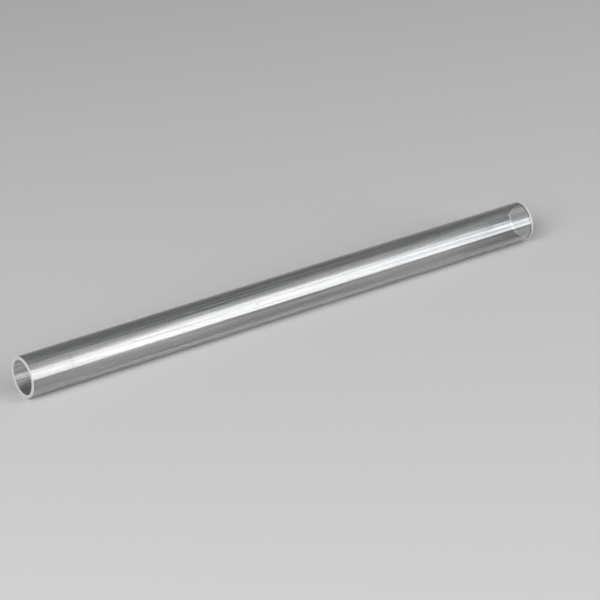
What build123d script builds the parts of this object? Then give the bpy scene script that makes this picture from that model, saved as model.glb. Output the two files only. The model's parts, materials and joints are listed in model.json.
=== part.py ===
"""Clear sapphire tube, open at both ends and lying on its side.

One single-crystal tube, pulled from the melt through a ring-shaped die and then cut to length.
X runs along the bore, from the near end (-X) to the far end (+X), and Z is up.
The origin lies on the table, under the middle of the tube's length.
"""

import os
from math import cos, radians, sin, sqrt

from build123d import *

# Driving dimensions, in millimetres and degrees

# The cut tube
length = 417.0
outer_diameter = 28.5
wall = 2.4

# Width and depth of the bevel that takes the sharpness off each ground rim
rim_bevel = 0.25

# The small flake lost from the bore's rim at the far end: its width along the rim,
# its bite into the corner, and its place round the axis, counted up from the +Y side
flake_width = 2.6
flake_bite = 1.0
flake_clock = 5.0

# Sizes that follow from the ones above
outer_radius = outer_diameter / 2
bore_radius = outer_radius - wall
middle_radius = outer_radius - wall / 2


def drawn_tube():
    """The wall's long section, bevelled at its four corners and turned about the axis."""
    with BuildPart() as tube:
        with BuildSketch(Plane.XY) as section:
            with Locations((0, middle_radius)):
                Rectangle(length, wall)
            chamfer(section.vertices(), rim_bevel)
        revolve(axis=Axis.X)
    return tube.part


def flake():
    """A ball that scoops one shell-shaped flake out of the corner between far end and bore."""
    half_width = flake_width / 2
    ball_radius = (half_width**2 + flake_bite**2) / (2 * flake_bite)
    # The ball's centre stands off from the corner along the corner's own diagonal
    stand_off = (ball_radius - flake_bite) / sqrt(2)
    centre_radius = bore_radius - stand_off
    centre = (
        length / 2 + stand_off,
        centre_radius * cos(radians(flake_clock)),
        centre_radius * sin(radians(flake_clock)),
    )
    return Pos(*centre) * Sphere(ball_radius)


# The tube is made about the X axis, then raised by its own radius, so that it lies on the table
tube = Pos(0, 0, outer_radius) * (drawn_tube() - flake())

os.makedirs("parts", exist_ok=True)
export_step(tube, "parts/tube.step")
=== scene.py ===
"""A clear sapphire tube lying on a pale studio floor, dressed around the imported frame. Metres, Z up."""

import json
from math import copysign, cos, pi, radians, sin, sqrt, tan

import bpy
from mathutils import Matrix, Vector, noise


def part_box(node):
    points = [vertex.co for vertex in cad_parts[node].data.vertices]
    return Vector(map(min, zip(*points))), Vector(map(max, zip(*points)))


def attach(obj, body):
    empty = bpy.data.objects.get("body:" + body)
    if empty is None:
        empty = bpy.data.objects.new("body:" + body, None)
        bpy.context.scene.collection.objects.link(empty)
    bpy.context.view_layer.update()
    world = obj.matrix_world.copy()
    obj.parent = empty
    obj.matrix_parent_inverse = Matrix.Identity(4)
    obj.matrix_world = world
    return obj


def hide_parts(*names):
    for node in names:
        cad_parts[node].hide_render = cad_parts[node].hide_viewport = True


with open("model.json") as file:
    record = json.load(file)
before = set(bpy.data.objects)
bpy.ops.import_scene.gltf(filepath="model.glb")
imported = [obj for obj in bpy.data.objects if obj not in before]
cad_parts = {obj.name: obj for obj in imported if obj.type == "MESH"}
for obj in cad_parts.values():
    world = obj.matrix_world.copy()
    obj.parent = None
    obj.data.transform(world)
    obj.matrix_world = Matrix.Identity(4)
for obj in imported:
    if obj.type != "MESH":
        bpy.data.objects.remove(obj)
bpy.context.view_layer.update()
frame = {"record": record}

# The tube
# One hollow single crystal of sapphire, pulled from the melt through a ring-shaped die, which leaves
# fine lengthwise lines on both walls. It is cut to length, both ends are ground flat with a small
# bevel round each rim, and the far end has lost a small flake from the rim of its bore.

MM = 0.001
mounts = {mount["name"]: mount for mount in frame["record"]["mounts"]}
outer_radius = mounts["outer_wall"]["dims"]["r_mm"] * MM
bore_radius = mounts["bore"]["dims"]["r_mm"] * MM
middle_radius = (bore_radius + outer_radius) / 2
axis_height = mounts["bore"]["pos_m"][2]
near_x, far_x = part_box("tube")[0][0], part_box("tube")[1][0]
rim_bevel = (far_x - near_x - mounts["bore"]["dims"]["length_mm"] * MM) / 2
wall_start, wall_end = near_x + rim_bevel, far_x - rim_bevel

# Growth lines: how many there are per radian of turn, how deep they are, and the length of tube over
# which they change. The die draws them on both walls at once, to a share of that depth in the bore.
growth_lines = (
    (3.2, 0.022 * MM, 0.35),
    (9.0, 0.075 * MM, 0.30),
    (24.0, 0.028 * MM, 0.15),
)
deepest_line = sum(depth for _, depth, _ in growth_lines)
bore_share = 0.5

# The pull ran smoother at its end: over this stretch of the far end the lines and their sheen fade
# to this share
fade_start = far_x - 90 * MM
fade_end = far_x - 15 * MM
faded_share = 0.3

# One faint ring where the pull paused for a moment, not far from the near end: its place, how far
# to each side it has half its depth, and its depth
pause_x = near_x + 30.5 * MM
pause_width = 0.4 * MM
pause_depth = 0.15 * MM

# The flake: its width along the rim, its bite into the corner, its place round the axis counted up
# from the back, the shell-like ripples on its face, and how far the wall is bruised around it. Face
# and bruise are near white: partly the whiteness of broken sapphire, partly a painted highlight for
# the glint of the fresh break.
flake_width = 2.6 * MM
flake_bite = 1.0 * MM
flake_clock = radians(5)
ripple_depth = 0.05 * MM
ripple_run = 0.3 * MM
flake_bruise_and_highlight = 1.9 * MM

# Tiny chips that grinding leaves along the rims: how deep, and how many per radian
chip_depth = 0.07 * MM
chip_rate = 26.0

# Widths of the frosted margin that grinding leaves on the walls beside the bevels. The far end's
# outer margin is uneven, and thinnest at one place round the axis.
near_margin = 0.2 * MM
# The far bore margin is near white: partly frosting, partly a painted highlight for light that the wall
# carries to its far rim.
far_bore_margin = 1.2 * MM
far_outer_margin_least = 0.15 * MM
far_outer_margin_most = 0.9 * MM
thinnest_turn = radians(-35)

# Mesh steps: round the axis, across an end, along a margin, along the run beside it, on to the
# pause ring, along the run on both sides of that, and along the rest
round_steps = 560
across_steps = 9
margin_steps = 4
rim_run = 1.8 * MM
rim_steps = 8
to_pause_steps = 3
pause_run = 1.6 * MM
pause_steps = 14
along_steps = 32


def growth_line_depth(turn, x):
    """How far the wall lies below its full radius there."""
    depth = 0
    for rate, deep, run in growth_lines:
        place = Vector((rate * cos(turn), rate * sin(turn), x / run))
        depth += deep * (0.5 + 0.5 * noise.noise(place))
    faded = min(max((x - fade_start) / (fade_end - fade_start), 0), 1)
    away = (x - pause_x) / pause_width
    return depth * (1 - faded * (1 - faded_share)) + pause_depth / (1 + away * away)


def far_margin_at(wall, turn):
    """Width of the frosted margin at the far end, on that wall."""
    if wall == "bore":
        return far_bore_margin
    share = abs(sin((turn - thinnest_turn) / 2))
    return far_outer_margin_least + (far_outer_margin_most - far_outer_margin_least) * share


def spread(start, end, steps):
    """Evenly spaced values from start, up to but without end."""
    return [start + (end - start) * i / steps for i in range(steps)]


def wall_stations(far_margin):
    """Places along a wall from its near bevel to its far one, close together beside the rims."""
    near_edge, far_edge = wall_start + near_margin, wall_end - far_margin
    stretches = (
        (near_edge, margin_steps),
        (near_edge + rim_run, rim_steps),
        (pause_x - pause_run, to_pause_steps),
        (pause_x + pause_run, pause_steps),
        (far_edge - rim_run, along_steps),
        (far_edge, rim_steps),
        (wall_end, margin_steps),
    )
    stations, start = [], wall_start
    for end, steps in stretches:
        stations += spread(start, end, steps)
        start = end
    return stations + [wall_end]


def chipped(x, radius, turn, rim):
    """A corner of a rim, moved in where there is a small chip, as there is on little of it."""
    rough = noise.noise(Vector((chip_rate * cos(turn), chip_rate * sin(turn), rim)))
    # Noise seldom passes 0.7, where this comes to the full depth
    chip = 2 * chip_depth * max(0, rough) ** 2
    return x - copysign(chip, x), radius + copysign(chip, middle_radius - radius)


def wall_section(turn):
    """The wall's closed long section at that turn, as (surface, x, radius) for each point."""
    ring_outer, ring_inner = outer_radius - rim_bevel, bore_radius + rim_bevel
    inward = spread(ring_outer, ring_inner, across_steps) + [ring_inner]
    outer = [
        ["outer", x, outer_radius - growth_line_depth(turn, x)]
        for x in wall_stations(far_margin_at("outer", turn))
    ]
    bore = [
        ["bore", x, bore_radius + bore_share * (deepest_line - growth_line_depth(turn, x))]
        for x in reversed(wall_stations(far_margin_at("bore", turn)))
    ]
    far_end = [["end", far_x, radius] for radius in inward]
    near_end = [["end", near_x, radius] for radius in reversed(inward)]
    # Each surface has an edge at both its ends, chipped in its own places
    for number, surface in enumerate((outer, far_end, bore, near_end)):
        for corner, rim in ((surface[0], 2 * number), (surface[-1], 2 * number + 1)):
            corner[1:] = chipped(corner[1], corner[2], turn, rim)
    return outer + far_end + bore + near_end


def finish_between(point, next_point, turn):
    """The finish of the strip between two neighbouring points of the section."""
    surface, x, _ = point
    next_surface, next_x, _ = next_point
    if surface == next_surface == "end":
        return "ground"
    middle_x = (x + next_x) / 2
    if middle_x < wall_start + near_margin:
        return "ground"
    wall = next_surface if surface == "end" else surface
    if surface != next_surface or middle_x > wall_end - far_margin_at(wall, turn):
        # The far bore margin takes the crushed finish, which is partly a painted highlight
        return "crushed_and_painted_highlight" if wall == "bore" else "frosted"
    return surface


def on_tube(x, radius, turn):
    """The point so far along the tube, at that radius and turn."""
    return Vector((x, radius * cos(turn), axis_height + radius * sin(turn)))


# The flake's face is part of a ball, which stands off from the rim along the corner's diagonal
flake_ball_radius = (flake_width**2 / 4 + flake_bite**2) / (2 * flake_bite)
flake_stand_off = (flake_ball_radius - flake_bite) / sqrt(2)
flake_ball_centre = on_tube(far_x + flake_stand_off, bore_radius - flake_stand_off, flake_clock)
flake_start = on_tube(far_x, bore_radius, flake_clock)


def scooped(point):
    """The point, pushed out of the flake's ball on to its rippled face, and whether it is bruised and so
    takes the partly painted highlight.
    """
    away = point - flake_ball_centre
    if away.length >= flake_ball_radius:
        return point, away.length < flake_ball_radius + flake_bruise_and_highlight
    wave = (1 - cos(2 * pi * (point - flake_start).length / ripple_run)) / 2
    return flake_ball_centre + away.normalized() * (flake_ball_radius + ripple_depth * wave), True


def add_object(name, data):
    """An object of that data, in the scene."""
    thing = bpy.data.objects.new(name, data)
    bpy.context.scene.collection.objects.link(thing)
    return thing


# The two walls as they grew, the ground ends with the near margins, the frosted margin outside the
# far end, and the crushed one in its bore, which is also the finish of the flake and its bruise. The
# crushed finish is near white: partly the whiteness of broken sapphire, partly a painted highlight
# for the flake's glint and for light that the wall carries to its far rim.
finishes = ("outer", "bore", "ground", "frosted", "crushed_and_painted_highlight")

# A face takes the crushed finish with its painted highlight where so many of its four corners are
# bruised
bruised_and_highlit_corners = 3

# The shading breaks along edges that turn more than this
sharp_edge = radians(25)


def build_tube():
    """The wall's section carried round the axis, with its growth lines, chips and flake."""
    turns = [2 * pi * i / round_steps for i in range(round_steps)]
    sections = [wall_section(turn) for turn in turns]
    count = len(sections[0])
    verts, bruised_and_highlit, strip_finishes = [], [], []
    for turn, section in zip(turns, sections):
        for _, x, radius in section:
            point, near_flake = scooped(on_tube(x, radius, turn))
            verts.append(point)
            bruised_and_highlit.append(near_flake)
        neighbours = zip(section, section[1:] + section[:1])
        strip_finishes.append([finish_between(point, after, turn) for point, after in neighbours])
    faces, slots = [], []
    for i in range(round_steps):
        here, there = i * count, (i + 1) % round_steps * count
        for j in range(count):
            k = (j + 1) % count
            face = (here + j, there + j, there + k, here + k)
            crushed_and_painted_highlight = sum(bruised_and_highlit[corner] for corner in face) >= bruised_and_highlit_corners
            faces.append(face)
            slots.append(finishes.index("crushed_and_painted_highlight" if crushed_and_painted_highlight else strip_finishes[i][j]))
    mesh = bpy.data.meshes.new("tube_body")
    mesh.from_pydata(verts, [], faces)
    mesh.polygons.foreach_set("material_index", slots)
    mesh.polygons.foreach_set("use_smooth", [True] * len(faces))
    mesh.set_sharp_from_angle(angle=sharp_edge)
    mesh.update()
    return add_object("tube_body", mesh)


tube_body = build_tube()


def new_group(name, inputs, outputs):
    """An empty node group with the named number inputs and outputs."""
    group = bpy.data.node_groups.new(name, "ShaderNodeTree")
    for label, value in inputs.items():
        socket = group.interface.new_socket(label, in_out="INPUT", socket_type="NodeSocketFloat")
        socket.default_value = value
    for label in outputs:
        group.interface.new_socket(label, in_out="OUTPUT", socket_type="NodeSocketFloat")
    given, made = group.nodes.new("NodeGroupInput"), group.nodes.new("NodeGroupOutput")
    return group, given.outputs, made.inputs


def feed(tree, value, socket):
    """Link another node's socket to this one, or set a plain number or colour on it."""
    if isinstance(value, bpy.types.NodeSocket):
        tree.links.new(value, socket)
    elif isinstance(value, tuple):
        socket.default_value = (*value, 1)
    else:
        socket.default_value = value


def add_math(tree, operation, first, second, clamp=False):
    """A Math node fed by sockets or plain numbers."""
    node = tree.nodes.new("ShaderNodeMath")
    node.operation = operation
    node.use_clamp = clamp
    feed(tree, first, node.inputs[0])
    feed(tree, second, node.inputs[1])
    return node.outputs["Value"]


def scaled(tree, value, least, most):
    """A value from 0 to 1, as one from least to most."""
    return add_math(tree, "ADD", add_math(tree, "MULTIPLY", value, most - least), least)


def steepened(tree, value, contrast, middle):
    """A value that varies about a half, as one that varies more steeply about the middle."""
    steep = add_math(tree, "MULTIPLY", add_math(tree, "SUBTRACT", value, 0.5), contrast)
    return add_math(tree, "ADD", steep, middle, clamp=True)


def smooth_step(tree, value, start, end, first=0, last=1):
    """A value that goes gently from first to last while the given one goes from start to end."""
    node = tree.nodes.new("ShaderNodeMapRange")
    node.interpolation_type = "SMOOTHSTEP"
    feed(tree, value, node.inputs["Value"])
    feed(tree, start, node.inputs["From Min"])
    feed(tree, end, node.inputs["From Max"])
    feed(tree, first, node.inputs["To Min"])
    feed(tree, last, node.inputs["To Max"])
    return node.outputs["Result"]


def axes_of(tree, place):
    """The X, Y and Z of a place."""
    apart = tree.nodes.new("ShaderNodeSeparateXYZ")
    feed(tree, place, apart.inputs["Vector"])
    return apart.outputs


def object_place(tree):
    """Where a point lies on the object, in metres."""
    return tree.nodes.new("ShaderNodeTexCoord").outputs["Object"]


def add_noise(tree, place, detail, per_metre=1.0):
    """Noise at that place, with about so many specks to the metre."""
    node = tree.nodes.new("ShaderNodeTexNoise")
    feed(tree, place, node.inputs["Vector"])
    feed(tree, per_metre, node.inputs["Scale"])
    feed(tree, detail, node.inputs["Detail"])
    return node.outputs["Fac"]


def drawn_out_noise(tree, lines, run, detail):
    """Noise that runs in lines along the tube: so many to the metre across, each of that run."""
    axes = axes_of(tree, object_place(tree))
    joined = tree.nodes.new("ShaderNodeCombineXYZ")
    feed(tree, add_math(tree, "DIVIDE", axes["X"], run), joined.inputs["X"])
    feed(tree, add_math(tree, "MULTIPLY", axes["Y"], lines), joined.inputs["Y"])
    feed(tree, add_math(tree, "MULTIPLY", axes["Z"], lines), joined.inputs["Z"])
    return add_noise(tree, joined.outputs["Vector"], detail)


# The lines too fine for the mesh: how many middling ones there are to the metre across the outer
# wall, the length over which they change, how many broad bands and hair lines go with each of them,
# and how much longer the bands run
lines_per_metre = 900.0
line_run = 0.14
bands_per_line = 0.42
hairs_per_line = 2.6
band_length = 2.0

# How sharply the haze and the tone change across the lines, and the share of the sheen that the
# clear lines keep
haze_contrast = 4.0
tone_contrast = 5.0
clear_sheen = 0.45


def make_growth_line_group():
    """Growth lines finer than the mesh holds: their height, haze, sheen and tone."""
    tree, given, made = new_group(
        "growth_lines",
        {
            "Lines per metre": lines_per_metre,
            "Run": line_run,
            "Haziness": 0.5,
            "Sheen": 1.0,
            "Contrast": tone_contrast,
        },
        ("Height", "Haze", "Sheen", "Tone"),
    )
    lines, run = given["Lines per metre"], given["Run"]
    band_lines = add_math(tree, "MULTIPLY", lines, bands_per_line)
    band_run = add_math(tree, "MULTIPLY", run, band_length)
    hair_lines = add_math(tree, "MULTIPLY", lines, hairs_per_line)
    middling = drawn_out_noise(tree, lines, run, detail=3.0)
    bands = drawn_out_noise(tree, band_lines, band_run, detail=1.0)
    hair = drawn_out_noise(tree, hair_lines, run, detail=1.0)
    broad = add_math(tree, "ADD", bands, middling)

    x = axes_of(tree, object_place(tree))["X"]
    fade = smooth_step(tree, x, fade_start, fade_end, 1, faded_share)
    height = add_math(tree, "ADD", broad, hair)
    feed(tree, add_math(tree, "MULTIPLY", height, fade), made["Height"])

    hazy = steepened(tree, middling, haze_contrast, given["Haziness"])
    fading_sheen = add_math(tree, "MULTIPLY", fade, given["Sheen"])
    sheen = add_math(tree, "MULTIPLY", scaled(tree, hazy, clear_sheen, 1), fading_sheen)
    feed(tree, hazy, made["Haze"])
    feed(tree, sheen, made["Sheen"])

    tone = steepened(tree, add_math(tree, "MULTIPLY", broad, 0.5), given["Contrast"], 0.5)
    feed(tree, tone, made["Tone"])
    return tree


growth_line_group = make_growth_line_group()


def new_material(name):
    """A material that holds only its Principled shader."""
    made = bpy.data.materials.new(name)
    made.use_nodes = True
    return made, made.node_tree, made.node_tree.nodes["Principled BSDF"]


def place_group(tree, group, **values):
    """The group in that material, with its own values."""
    node = tree.nodes.new("ShaderNodeGroup")
    node.node_tree = group
    for label, value in values.items():
        feed(tree, value, node.inputs[label.replace("_", " ")])
    return node.outputs


# A Mix node has sockets for every kind of value, and these are its two colours and their mixture
first_colour, second_colour = 6, 7
mixed_colour = 2


def mixed(tree, factor, first, second):
    """A colour between two, given as colours or sockets."""
    node = tree.nodes.new("ShaderNodeMix")
    node.data_type = "RGBA"
    feed(tree, factor, node.inputs["Factor"])
    feed(tree, first, node.inputs[first_colour])
    feed(tree, second, node.inputs[second_colour])
    return node.outputs[mixed_colour]


def add_relief(tree, shader, height, depth, inward=False):
    """Bump of that depth, raised or sunk."""
    bump = tree.nodes.new("ShaderNodeBump")
    bump.invert = inward
    feed(tree, depth, bump.inputs["Distance"])
    feed(tree, height, bump.inputs["Height"])
    feed(tree, bump.outputs["Normal"], shader.inputs["Normal"])


sapphire_ior = 1.768

# The lines tint what shows through them, coolly where they are clear and warmly where they are hazy:
# the darkest and the palest tone of each. The hazy ones are rougher too, and all stand up a little.
clear_tones = (0.34, 0.39, 0.43), (0.87, 0.885, 0.89)
hazy_tones = (0.39, 0.38, 0.365), (0.88, 0.85, 0.825)
clear_roughness, hazy_roughness = 0.03, 0.10
line_depth = 0.010 * MM

# The lines also send back a soft sheen, stronger than the crystal's own gloss, as an index this high
# would
sheen_ior = 3.0


def make_grown_sapphire(name, radius, haziness, sheen, sheen_roughness):
    """As-grown wall: clear glass under a soft sheen, which is stronger along the hazy lines."""
    made, tree, shader = new_material(name)
    lines = place_group(
        tree,
        growth_line_group,
        Lines_per_metre=lines_per_metre * outer_radius / radius,
        Haziness=haziness,
        Sheen=sheen,
    )
    clear, hazy = (mixed(tree, lines["Tone"], *tones) for tones in (clear_tones, hazy_tones))
    roughness = scaled(tree, lines["Haze"], clear_roughness, hazy_roughness)
    feed(tree, mixed(tree, lines["Haze"], clear, hazy), shader.inputs["Base Color"])
    feed(tree, roughness, shader.inputs["Roughness"])
    feed(tree, lines["Sheen"], shader.inputs["Coat Weight"])
    shader.inputs["Transmission Weight"].default_value = 1
    shader.inputs["IOR"].default_value = sapphire_ior
    shader.inputs["Coat Roughness"].default_value = sheen_roughness
    shader.inputs["Coat IOR"].default_value = sheen_ior
    add_relief(tree, shader, lines["Height"], line_depth, inward=radius == bore_radius)
    return made


def make_grit_group():
    """The grit that grinding leaves, and slow clouds of paler and darker powder over it."""
    tree, given, made = new_group(
        "grit", {"Grains per metre": 2600.0, "Clouds per metre": 320.0}, ("Grain", "Cloud")
    )
    place = object_place(tree)
    grain = add_noise(tree, place, detail=2.0, per_metre=given["Grains per metre"])
    cloud = add_noise(tree, place, detail=3.0, per_metre=given["Clouds per metre"])
    feed(tree, grain, made["Grain"])
    feed(tree, cloud, made["Cloud"])
    return tree


grit_group = make_grit_group()
grit_depth = 0.02 * MM


def make_frosted_sapphire(name, dull, pale, smooth, rough):
    """Sapphire whose surface is broken up, so that it scatters light and can't be seen through."""
    made, tree, shader = new_material(name)
    grit = place_group(tree, grit_group)
    feed(tree, mixed(tree, grit["Cloud"], dull, pale), shader.inputs["Base Color"])
    feed(tree, scaled(tree, grit["Grain"], smooth, rough), shader.inputs["Roughness"])
    shader.inputs["IOR"].default_value = sapphire_ior
    add_relief(tree, shader, grit["Grain"], grit_depth)
    return made


materials = {
    "outer": make_grown_sapphire(
        "outer_sapphire", outer_radius, haziness=0.4, sheen=0.95, sheen_roughness=0.5
    ),
    "bore": make_grown_sapphire(
        "bore_sapphire", bore_radius, haziness=0.3, sheen=0.7, sheen_roughness=0.2
    ),
    "ground": make_frosted_sapphire(
        "ground_sapphire", dull=(0.60, 0.56, 0.545), pale=(0.68, 0.64, 0.625), smooth=0.7, rough=1.0
    ),
    "frosted": make_frosted_sapphire(
        "frosted_sapphire", dull=(0.60, 0.61, 0.64), pale=(0.72, 0.73, 0.76), smooth=0.6, rough=0.9
    ),
    # Near white: partly broken sapphire's own whiteness, partly a painted highlight on the flake, its
    # bruise and the far bore rim
    "crushed_and_painted_highlight": make_frosted_sapphire(
        "crushed_sapphire_painted_highlight", dull=(0.92, 0.92, 0.93), pale=(0.98, 0.98, 0.99), smooth=0.4, rough=0.8
    ),
}
for finish in finishes:
    tube_body.data.materials.append(materials[finish])

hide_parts("tube")
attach(tube_body, "root")

# The floor
# A plain pale sheet, wide enough to fill every view. It belongs to the studio, not to the tube, and
# is painted matt, so that it shows the tube's shadow and no glare.

floor_radius = 8.0
floor_corners = 96
floor_tone = (0.68, 0.68, 0.68)
floor_roughness = 0.9

floor_turns = [2 * pi * i / floor_corners for i in range(floor_corners)]
floor_mesh = bpy.data.meshes.new("floor")
floor_mesh.from_pydata(
    [(floor_radius * cos(turn), floor_radius * sin(turn), 0) for turn in floor_turns],
    [],
    [tuple(range(floor_corners))],
)
floor = add_object("floor", floor_mesh)
floor_paint, tree, shader = new_material("floor_paint")
feed(tree, floor_tone, shader.inputs["Base Color"])
shader.inputs["Roughness"].default_value = floor_roughness
shader.inputs["Specular IOR Level"].default_value = 0
floor_mesh.materials.append(floor_paint)

# The studio light
# A wide softbox by the near end lights the floor and the ground end. A long one stands in front, out
# past the far end, and lies in the tube's walls as the bright band. The room is grey, and darker
# overhead.

# The room's tones, and the heights between which it darkens, on a dome of radius 1
horizon_tone = (0.42, 0.42, 0.42)
overhead_tone = (0.12, 0.12, 0.12)
dusk_from, dusk_to = 0.05, 0.30

world = bpy.data.worlds.new("studio")
bpy.context.scene.world = world
world.use_nodes = True
room = world.node_tree
room_place = room.nodes.new("ShaderNodeTexCoord").outputs["Generated"]
dusk = smooth_step(room, axes_of(room, room_place)["Z"], dusk_from, dusk_to)
room_tone = mixed(room, dusk, horizon_tone, overhead_tone)
feed(room, room_tone, room.nodes["Background"].inputs["Color"])


def facing(place, aim):
    """The turn that makes a lamp or a camera at that place face its aim."""
    return (Vector(aim) - Vector(place)).to_track_quat("-Z", "Y")


def softbox(name, place, size, glow, tint, aim):
    """A flat lamp that looks as bright as a white sheet at a glow of 1."""
    lamp = bpy.data.lights.new(name, "AREA")
    lamp.shape = "RECTANGLE"
    lamp.size, lamp.size_y = size
    lamp.energy = glow * pi * size[0] * size[1]
    lamp.color = tint
    holder = add_object(name, lamp)
    holder.location = place
    holder.rotation_euler = facing(place, aim).to_euler()


warm, white, cool = (1, 0.98, 0.96), (1, 1, 1), (0.96, 0.98, 1)

# The wide softbox, turned to the spot under the middle of the tube
key_place = (-1.6, -0.9, 1.3)
key_size = (1.4, 1.4)
key_glow = 6.2
softbox("key_box", key_place, key_size, key_glow, white, aim=(0, 0, 0))

# The long softbox, a bank of strips that face the tube's line from this far. Each column has its
# start and end along that line, its tint and its strips, each dimmer than the one below it. A strip
# has its lower and upper edge, as degrees of rise from the floor, and its glow.
bank_reach = 2.5
bank_columns = (
    (0.5, 1.2, warm, ((0, 43, 3.4), (43, 54, 2.6), (54, 72, 1.5), (72, 88, 0.6))),
    (1.2, 1.95, white, ((0, 44, 4.3), (44, 55, 3.1), (55, 72, 1.7), (72, 88, 0.7))),
    (1.95, 2.5, cool, ((0, 42, 4.4),)),
)
for start_x, end_x, tint, strips in bank_columns:
    width, middle_x = end_x - start_x, (start_x + end_x) / 2
    for low, high, glow in strips:
        rise = radians((low + high) / 2)
        height = 2 * bank_reach * tan(radians(high - low) / 2)
        place = (middle_x, -bank_reach * cos(rise), bank_reach * sin(rise))
        softbox("bank_strip", place, (width, height), glow, tint, aim=(middle_x, 0, 0))

# The camera
# It stands where the photograph was taken from, before the near end and looking down the tube.
# Its sensor and its lens are in millimetres.

camera_place = (-0.8896, -1.2570, 0.8127)
camera_aim = (0.0027, -0.0119, 0.01425)
camera_roll = radians(0.76)
sensor_width = 36
focal_length = 151.3

lens = bpy.data.cameras.new("camera")
lens.sensor_width = sensor_width
lens.lens = focal_length
camera = add_object("camera", lens)
camera.location = camera_place
level = facing(camera_place, camera_aim).to_matrix()
camera.rotation_euler = (level @ Matrix.Rotation(camera_roll, 3, "Z")).to_euler()
bpy.context.scene.camera = camera

bpy.context.scene.view_settings.view_transform = "Standard"
